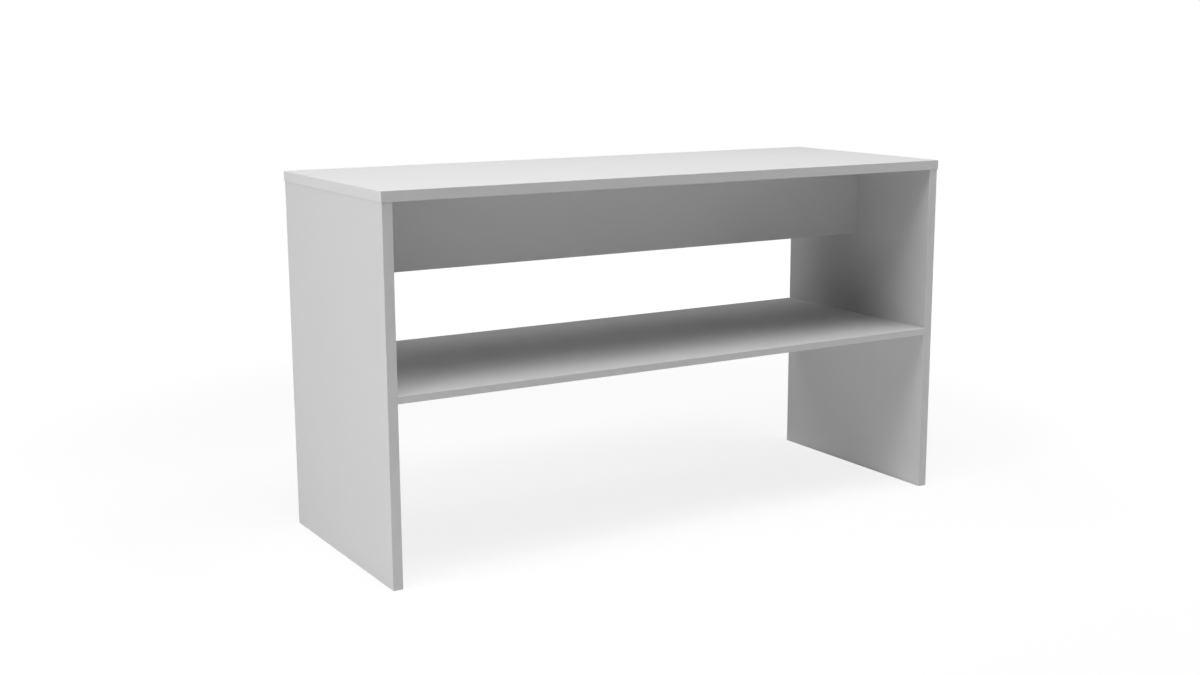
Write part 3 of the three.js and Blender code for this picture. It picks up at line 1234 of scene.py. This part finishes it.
@dataclass(frozen=True)
class ConnectingBolt:
    """A connecting bolt: it screws into the face of one board and its head reaches into the cam.

    Its own axis is +X, and the places along it count from that face.
    """

    thread_radius: float = 3.0
    root_radius: float = 2.2
    thread_length: float = 11.0
    thread_pitch: float = 1.9
    thread_steps: int = 24
    ridge_size: float = 0.62  # from the middle of the thread's ridge to its corners
    ridge_sides: int = 3
    tip: float = 1.5
    collar_radius: float = 3.7
    collar_length: float = 2.0
    seat_gap: float = 0.2  # between the collar and the board
    shaft_radius: float = 2.6
    neck_start: float = 16.3
    neck_radius: float = 1.5
    head_start: float = 19.78
    head_cone: float = 2.0
    head_radius: float = 3.2
    head_end: float = 24.8
    recess_length: float = 3.6
    recess_width: float = 0.9
    recess_depth: float = 1.4
    edge_round: float = 0.12
    end_gap: float = 1.0
    clearance: float = 0.15
    sides: int = 32

    def model(self) -> Workpiece:
        """Models the bolt in its own frame, from the thread to the head.

        Returns:
            The bolt.
        """
        tip_end = -self.thread_length
        start = X_AXIS * (tip_end + self.tip)
        bolt = Workpiece.rod("bolt_model", start, X_AXIS * self.seat_gap, self.root_radius, self.sides)
        self._grow_end(bolt, -1, tip_end, (self.thread_radius - self.tip) / self.root_radius)
        profile = (
            (self.seat_gap, self.collar_radius),
            (self.seat_gap + self.collar_length, self.collar_radius),
            (self.seat_gap + self.collar_length, self.shaft_radius),
            (self.neck_start, self.shaft_radius),
            (self.neck_start, self.neck_radius),
            (self.head_start, self.neck_radius),
            (self.head_start + self.head_cone, self.head_radius),
            (self.head_end, self.head_radius),
        )
        radius = self.root_radius
        for along, wanted in profile:
            self._grow_end(bolt, 1, along, wanted / radius)
            radius = wanted
        bolt.clean()
        recess = (self.recess_length, self.recess_width, self.recess_depth)
        for bar in cross_tools(X_AXIS * self.head_end, 0, *recess):
            bolt.cut_with(bar)
        bolt.tumble(self.edge_round)
        bolt.weld(self._thread())
        bolt.clean()
        bolt.keep_own_place()
        return bolt

    @staticmethod
    def _grow_end(bolt: Workpiece, side: int, along: float, share: float) -> None:
        """Extrudes one end of the bolt.

        Args:
            bolt: The bolt.
            side: 1 for the head's end and -1 for the tip's.
            along: Where the end comes to lie.
            share: Its new radius as a share of the old one.
        """
        reach = max(side * point.co.x for point in bolt.body.data.vertices) / MM * side

        def at_end(middle: Vector, normal: Vector) -> bool:
            """Tells the face that closes this end."""
            on_axis = math.hypot(middle.y, middle.z) < NEAR
            return on_axis and abs(middle.x - reach) < NEAR and side * normal.x > SQUARE

        with bolt.at_bench(Element.FACES, at_end):
            bpy.ops.mesh.extrude_region_move(TRANSFORM_OT_translate={"value": X_AXIS * (along - reach) * MM})
            bpy.ops.transform.resize(value=(1.0, share, share), center_override=X_AXIS * along * MM)

    def _thread(self) -> Workpiece:
        """Makes the thread's winding ridge.

        Returns:
            The ridge, closed at both ends.
        """
        start = -self.thread_length + self.tip + self.ridge_size
        put_down()
        bpy.ops.mesh.primitive_circle_add(
            vertices=self.ridge_sides,
            radius=self.ridge_size * MM,
            location=(start * MM, 0.0, (self.thread_radius - self.ridge_size) * MM),
            rotation=(math.pi / 2, 0.0, 0.0),
        )
        ridge = Workpiece.taken_up("ridge")
        ridge.machine(
            "SCREW",
            axis="X",
            angle=math.tau,
            screw_offset=self.thread_pitch * MM,
            iterations=int((self.thread_length - self.tip) / self.thread_pitch),
            steps=self.thread_steps,
            render_steps=self.thread_steps,
            use_merge_vertices=False,
        )
        with ridge.at_bench():
            bpy.ops.mesh.fill_holes(sides=self.ridge_sides)
            bpy.ops.mesh.select_all(action="SELECT")
            bpy.ops.mesh.normals_make_consistent(inside=False)
        return ridge

    def bores(self, seat: Seat, reach: float) -> tuple[list[Bore], list[Bore]]:
        """Gives the holes for one bolt.

        Args:
            seat: Where the bolt sits.
            reach: How far the hole runs into the edge.

        Returns:
            The holes in the face of one board, and those in the edge of the other.
        """
        bottom = seat.at(-self.thread_length - self.end_gap)
        face = Bore(bottom, seat.at(DRILL_OVERRUN), self.thread_radius + self.clearance)
        edge = Bore(seat.at(reach), seat.at(-DRILL_OVERRUN), self.collar_radius + self.clearance)
        return [face], [edge]


@dataclass(frozen=True)
class CamHousing:
    """A cam: a drum whose eccentric chamber draws the bolt's head in as it turns.

    In its own frame its axis is Z, its mouth faces +X and the bolt's axis lies at a height of 0.
    """

    radius: float = 7.4
    bottom: float = 4.3  # how far it reaches below the bolt's axis
    top: float = 8.7  # and above it
    setback: float = 24.0  # its axis' distance from the end of its board
    turn: float = 150.0  # from open to locked, in degrees
    rim_round: float = 0.35
    rim_steps: int = 3
    chamber_radius: float = 5.15
    chamber_offset: float = 0.75  # towards the mouth
    chamber_top: float = 3.5
    chamber_sides: int = 48
    mouth_radius: float = 3.5
    mouth_sides: int = 32
    slot_half: float = 1.8  # half the width of the slot for the bolt's neck
    slot_spare: float = 23.8  # how much further it runs than the turn, in degrees
    slot_inner: float = 2.0  # where it starts, from the axis
    slot_steps: int = 40
    cross_length: float = 8.0
    cross_width: float = 1.8
    cross_depth: float = 2.6
    cross_taper: float = 0.82  # its size at the bottom as a share of that at the top
    pointer_radius: float = 1.19
    pointer_sides: int = 3
    pointer_place: float = 5.7  # from the axis
    pointer_depth: float = 0.6
    edge_round: float = 0.1
    overrun: float = 4.0  # how far the tools reach past the drum
    bore_depth: float = 13.5
    board: float = 18.0  # the thickness of the board that it sits in
    clearance: float = 0.1
    sides: int = 72

    def model(self) -> Workpiece:
        """Models the cam in its own frame.

        Returns:
            The cam.
        """
        cam = Workpiece.rod("cam_model", -Z_AXIS * self.bottom, Z_AXIS * self.top, self.radius, self.sides)
        cam.round_edges(lies_at(2, -self.bottom, self.top), self.rim_round, self.rim_steps)
        middle = X_AXIS * self.chamber_offset
        floor = middle - Z_AXIS * (self.bottom + self.overrun)
        roof = middle + Z_AXIS * self.chamber_top
        mouth_end = X_AXIS * (self.radius + self.overrun)
        cam.cut_with(Workpiece.rod("chamber", floor, roof, self.chamber_radius, self.chamber_sides))
        cam.cut_with(Workpiece.rod("mouth", ORIGIN, mouth_end, self.mouth_radius, self.mouth_sides))
        cam.cut_with(self._slot())
        top = Z_AXIS * self.top
        for bar in cross_tools(top, 2, self.cross_length, self.cross_width, self.cross_depth):
            bar.squeeze(self._under_top, Vector((self.cross_taper, self.cross_taper, 1.0)), top)
            cam.cut_with(bar)
        cam.cut_with(self._pointer())
        cam.clean()
        cam.tumble(self.edge_round)
        cam.clean()
        cam.keep_own_place()
        return cam

    def _under_top(self, point: Vector) -> bool:
        """Tells the points under the cam's top."""
        return point.z < self.top

    def _slot(self) -> Workpiece:
        """Makes the tool for the slot, by spinning a plate round the cam's axis.

        Returns:
            The tool, which fills a wide sector of a disc.
        """
        reach = self.radius + self.overrun
        size = ((reach - self.slot_inner) * MM, 2 * self.slot_half * MM, 1.0)
        put_down()
        bpy.ops.mesh.primitive_plane_add(size=1.0)
        plate = Workpiece.taken_up("slot")
        with plate.at_bench():
            bpy.ops.transform.resize(value=size, center_override=ORIGIN)
            bpy.ops.transform.translate(value=((reach + self.slot_inner) / 2 * MM, 0.0, 0.0))
        plate.body.data.transform(Matrix.Rotation(math.pi / 2, 4, "X"))
        with plate.at_bench():
            angle = math.radians(self.turn + self.slot_spare)
            bpy.ops.mesh.spin(steps=self.slot_steps, angle=angle, center=ORIGIN, axis=Z_AXIS)
        plate.clean()
        return plate

    def _pointer(self) -> Workpiece:
        """Makes the tool for the three-cornered mark that points at the mouth.

        Returns:
            The tool.
        """
        middle = X_AXIS * self.pointer_place + Z_AXIS * self.top
        depth = Z_AXIS * self.pointer_depth
        ends = (middle - depth, middle + depth)
        pointer = Workpiece.rod("pointer", *ends, self.pointer_radius, self.pointer_sides)
        corner = pointer.body.data.vertices[0].co / MM - middle
        turn = math.atan2(corner.y, corner.x)
        with pointer.at_bench():
            bpy.ops.transform.rotate(value=turn, orient_axis="Z", center_override=middle * MM)
        return pointer

    def place(self, seat: Seat) -> Matrix:
        """Gives the turn and the move that put the locked cam into its seat."""
        turn = Matrix.Rotation(math.pi - math.radians(self.turn), 4, "Z")
        return seat.matrix() @ Matrix.Translation(X_AXIS * self.setback * MM) @ turn

    def bore(self, seat: Seat) -> Bore:
        """Gives the hole for one cam.

        Args:
            seat: Where the cam sits.

        Returns:
            The hole, whose mouth shows.
        """
        mouth = self.board / 2
        bottom = seat.at(self.setback, mouth - self.bore_depth)
        outside = seat.at(self.setback, mouth + DRILL_OVERRUN)
        return Bore(bottom, outside, self.radius + self.clearance, self.sides, shows=True)


@dataclass
class FittingRow:
    """A row of fittings along a joint, evenly spaced."""

    joint: str
    kinds: tuple[Fitting, ...]
    face: BandedBoard  # the board that they go into through its face
    edge: BandedBoard  # the board that they go into through its edge
    middle: Vector
    reach: Vector  # from the middle to the last fitting
    into: Vector  # the way into the edge
    opens: Vector  # the way that the cams' bores open

    def seats(self) -> Iterator[tuple[Fitting, str, Seat]]:
        """Goes along the row.

        Yields:
            Each fitting's kind, its joint and number in the nodes' names, and its seat.
        """
        start = self.middle - self.reach
        end = self.middle + self.reach
        counts = dict.fromkeys(Fitting, 0)
        for index, kind in enumerate(self.kinds):
            counts[kind] += 1
            origin = start.lerp(end, index / (len(self.kinds) - 1))
            yield kind, f"{self.joint}_{counts[kind]}", Seat(origin, self.into, self.opens)


@dataclass
class Fittings:
    """All the cams, bolts and dowels of the table."""

    rows: Sequence[FittingRow]
    cam: CamHousing = CamHousing()
    bolt: ConnectingBolt = ConnectingBolt()
    dowel: FlutedDowel = FlutedDowel()
    pieces: list[tuple[Workpiece, str, Slot]] = field(default_factory=list)

    def mark_bores(self) -> None:
        """Tells each board which holes it gets."""
        for row in self.rows:
            for kind, _, seat in row.seats():
                if kind is Fitting.DOWEL:
                    face, edge = self.dowel.bores(seat)
                else:
                    face, edge = self.bolt.bores(seat, self.cam.setback)
                    edge.append(self.cam.bore(seat))
                row.face.bores.extend(face)
                row.edge.bores.extend(edge)

    def build(self) -> None:
        """Models each kind once and copies it into its seats."""
        cam, bolt, dowel = self.cam.model(), self.bolt.model(), self.dowel.model()
        for row in self.rows:
            for kind, label, seat in row.seats():
                if kind is Fitting.DOWEL:
                    copy = dowel.copy(f"fluted_dowel_{label}", seat.matrix())
                    self.pieces.append((copy, f"dowel_{label}", Slot.BEECH))
                    continue
                housing = cam.copy(f"cam_housing_{label}", self.cam.place(seat))
                self.pieces.append((housing, f"cam_{label}", Slot.ZINC))
                pin = bolt.copy(f"connecting_bolt_{label}", seat.matrix())
                self.pieces.append((pin, f"bolt_{label}", Slot.STEEL))
        for model in (cam, bolt, dowel):
            model.scrap()

    def dress(self, finishes: Finishes) -> None:
        """Gives the fittings their materials and lets them stand for the CAD nodes.

        Args:
            finishes: The materials.
        """
        for piece, node, slot in self.pieces:
            if slot is Slot.BEECH:
                self._dress_dowel(piece, finishes)
            else:
                piece.paint(finishes.zinc if slot is Slot.ZINC else finishes.steel)
            piece.polish()
            piece.hand_over(node, slot)

    @staticmethod
    def _dress_dowel(piece: Workpiece, finishes: Finishes) -> None:
        """Gives a dowel its long grain, and its ends the end grain.

        Args:
            piece: The dowel.
            finishes: The materials.
        """
        along = [place.vector.x for place in piece.body.data.attributes[OWN_PLACE].data]

        def on_end(face: bpy.types.MeshPolygon) -> int:
            """Tells a cut end, 1, from the rest, 0."""
            reach = [along[index] for index in face.vertices]
            return int(max(reach) - min(reach) < NEAR * MM)

        piece.paint(finishes.beech, finishes.beech_end, pick=on_end)


# The whole table


@dataclass
class PackingTable:
    """The table: its boards and the fittings that hold them."""

    worktop: Worktop = field(default_factory=Worktop)
    left: SidePanel = field(default_factory=SidePanel)
    right: SidePanel = field(default_factory=lambda: SidePanel(hand=Hand.RIGHT))
    rail: CentreRail = field(default_factory=CentreRail)
    shelf: Shelf = field(default_factory=Shelf)
    depth_setback: float = 60.0  # of the outer fittings, from the front and the rear of a side panel
    rail_end_setback: float = 40.0  # the same from the top and the bottom of the rail
    rail_top_setback: float = 150.0  # the same from the ends of the rail

    def rows(self) -> list[FittingRow]:
        """Lays out the rows of fittings.

        Returns:
            The rows: under the worktop, and at each side panel to the worktop, the rail and the shelf.
        """
        cam, dowel = Fitting.CAM, Fitting.DOWEL
        down = -Z_AXIS
        along_x = X_AXIS * (self.left.inner_face - self.rail_top_setback)
        along_y = Y_AXIS * (self.left.depth / 2 - self.depth_setback)
        along_z = Z_AXIS * (self.rail.height / 2 - self.rail_end_setback)
        kinds = (cam, dowel, cam, cam, dowel, cam)
        top = Z_AXIS * self.worktop.underside
        rows = [FittingRow("rail_top", kinds, self.worktop, self.rail, top, along_x, down, Y_AXIS)]
        for panel in (self.left, self.right):
            hand = panel.hand.label
            inwards = X_AXIS * -panel.hand.value
            top = Vector((panel.middle_x, 0.0, self.worktop.underside))
            rail = Vector((panel.face_x, 0.0, self.rail.top - self.rail.height / 2))
            shelf = Vector((panel.face_x, 0.0, self.shelf.top - self.shelf.thickness / 2))
            kinds = (dowel, dowel, dowel, dowel)
            rows.append(FittingRow(f"worktop_{hand}", kinds, self.worktop, panel, top, along_y, down, Y_AXIS))
            kinds = (cam, dowel, cam)
            rows.append(FittingRow(f"rail_{hand}", kinds, panel, self.rail, rail, along_z, inwards, Y_AXIS))
            kinds = (cam, dowel, dowel, cam)
            rows.append(FittingRow(f"shelf_{hand}", kinds, panel, self.shelf, shelf, along_y, inwards, down))
        return rows

    def build(self, finishes: Finishes) -> None:
        """Builds and dresses every board and every fitting.

        Args:
            finishes: The materials.
        """
        fittings = Fittings(self.rows())
        fittings.mark_bores()
        for board in (self.worktop, self.left, self.right, self.rail, self.shelf):
            board.build()
            board.dress(finishes)
        fittings.build()
        fittings.dress(finishes)


# Studio


@dataclass(frozen=True)
class PhotoCamera:
    """The camera at the photograph's viewing angle."""

    place: Triple = (-2120.1, -3413.8, 1226.9)
    heading: float = 32.106  # from the table's +Y towards +X, in degrees
    tilt: float = 10.936  # how far it looks down, in degrees
    focal_share: float = 1.3036  # of the picture's width
    shift: float = -0.0266  # of the picture's width
    sensor: float = 36.0
    nearest: float = 50.0
    farthest: float = 200000.0

    def build(self) -> None:
        """Makes the camera and lets the scene use it."""
        camera = bpy.data.cameras.new("photo_camera")
        camera.sensor_width = self.sensor
        camera.lens = self.focal_share * self.sensor
        camera.shift_x = self.shift
        camera.clip_start = self.nearest * MM
        camera.clip_end = self.farthest * MM
        body = bpy.data.objects.new("photo_camera", camera)
        body.location = Vector(self.place) * MM
        body.rotation_euler = (math.radians(90.0 - self.tilt), 0.0, -math.radians(self.heading))
        bpy.context.scene.collection.objects.link(body)
        bpy.context.scene.camera = body


@dataclass(frozen=True)
class SoftBox:
    """A studio lamp that looks at the table."""

    name: str
    azimuth: float  # in degrees from the front towards the right
    elevation: float  # in degrees above the point that it looks at
    power: float  # in watts
    width: float = 1600.0
    height: float = 1600.0
    distance: float = 3400.0
    aim: Triple = (0.0, 0.0, 500.0)

    def build(self) -> None:
        """Makes the lamp."""
        lamp = bpy.data.lights.new(self.name, "AREA")
        lamp.shape = "RECTANGLE"
        lamp.size = self.width * MM
        lamp.size_y = self.height * MM
        lamp.energy = self.power
        azimuth = math.radians(self.azimuth)
        elevation = math.radians(self.elevation)
        level = math.cos(elevation)
        away = Vector((math.sin(azimuth) * level, -math.cos(azimuth) * level, math.sin(elevation)))
        body = bpy.data.objects.new(self.name, lamp)
        body.location = (Vector(self.aim) + away * self.distance) * MM
        body.rotation_euler = away.to_track_quat("Z", "Y").to_euler()
        body.visible_camera = False
        bpy.context.scene.collection.objects.link(body)


@dataclass(frozen=True)
class Studio:
    """The floor, the white surround and the lamps."""

    lamps: tuple[SoftBox, ...] = (
        SoftBox("left_key", 288.0, 50.0, 22.5),
        SoftBox("left_side", 270.0, 10.0, 29.6),
        SoftBox("front_top", 324.0, 66.0, 28.7),
        SoftBox("right_top", 54.0, 66.0, 38.6),
        SoftBox("rear_top", 216.0, 66.0, 21.8),
        SoftBox("right_fill", 108.0, 50.0, 5.7),
        SoftBox("right_front", 72.0, 10.0, 25.1),
        SoftBox(
            "low_front", 304.4, -1.7, 1.2, width=900.0, height=300.0, distance=2303.0, aim=(300.0, 0.0, 250.0)
        ),
        SoftBox("floor_light", 0.0, -90.0, 0.88, width=1540.0, height=590.0, distance=499.0),
    )
    floor_size: float = 60000.0
    floor_drop: float = 0.1  # under the table's feet
    floor_albedo: float = 0.9  # how much light it gives back to the table
    floor_shade: float = 0.25  # how much of its brightness in the picture a shadow can take away
    floor_glow: float = 0.8  # the rest of that brightness, near the table
    shade_fade: tuple[float, float] = (1200.0, 3600.0)  # where the shadows start to fade and where they end
    grain_scale: float = 40.0
    grain_swing: float = 0.01

    def build(self) -> None:
        """Builds the studio."""
        for lamp in self.lamps:
            lamp.build()
        self._build_surround()
        self._build_floor()
        bpy.context.scene.view_settings.view_transform = "Standard"

    @staticmethod
    def _seen(sheet: NodeSheet) -> Socket:
        """Gives 1 for rays that look at the surround and 0 for those that only carry its light.

        Args:
            sheet: The sheet to add the nodes to.

        Returns:
            The result's socket.
        """
        rays = sheet.add("LightPath")
        mirrored = sheet.math("MAXIMUM", rays["Is Glossy Ray"], rays["Is Transmission Ray"])
        return sheet.math("MAXIMUM", rays["Is Camera Ray"], mirrored)

    def _build_surround(self) -> None:
        """Makes the world, which is white to look at and gives no light."""
        world = bpy.data.worlds.new("studio_surround")
        sheet = NodeSheet(opened(world))
        white = sheet.add("Background", {"Color": (1.0, 1.0, 1.0, 1.0), "Strength": self._seen(sheet)})
        sheet.add("OutputWorld", {"Surface": white[0]})
        bpy.context.scene.world = world

    def _build_floor(self) -> None:
        """Makes the floor, which is white to look at and keeps the table's soft shadow."""
        put_down()
        bpy.ops.mesh.primitive_plane_add(size=self.floor_size * MM, location=-Z_AXIS * self.floor_drop * MM)
        floor = Workpiece.taken_up("studio_floor")
        material = bpy.data.materials.new("pale_floor")
        sheet = NodeSheet(opened(material))
        seen = self._seen(sheet)
        place = sheet.add("TexCoord")["Object"]
        away = sheet.add("VectorMath", {0: place}, operation="LENGTH")["Value"]
        ends = [end * MM for end in self.shade_fade]
        fade = sheet.remap(away, ends, (0.0, 1.0), interpolation_type="SMOOTHSTEP")
        noise = sheet.noise(place, self.grain_scale, detail=2.0)
        grain = sheet.stretch(noise, 1 - self.grain_swing, 1 + self.grain_swing)
        albedo = sheet.stretch(seen, self.floor_albedo, self.floor_shade)
        matt = sheet.add("BsdfDiffuse", {"Color": sheet.grey(sheet.math("MULTIPLY", albedo, grain))})
        glow = sheet.math("MULTIPLY", seen, sheet.stretch(fade, self.floor_glow, 1.0))
        shine = sheet.add("Emission", {"Strength": glow})
        both = sheet.add("AddShader", {0: matt[0], 1: shine[0]})
        sheet.add("OutputMaterial", {"Surface": both[0]})
        floor.paint(material)
        floor.body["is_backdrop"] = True


def write_sizes() -> None:
    """Gathers the CAD model's box and the dressed model's box as plain lists."""
    boxes = {"cad": cad_box, "visual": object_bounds()}
    plain = {name: [list(corner) for corner in box] for name, box in boxes.items()}


def main() -> None:
    """Builds the studio and the table."""
    logging.basicConfig(level=logging.INFO, format="%(name)s: %(message)s")
    PhotoCamera().build()
    Studio().build()
    PackingTable().build(Finishes())
    write_sizes()


if __name__ == "__main__":
    main()
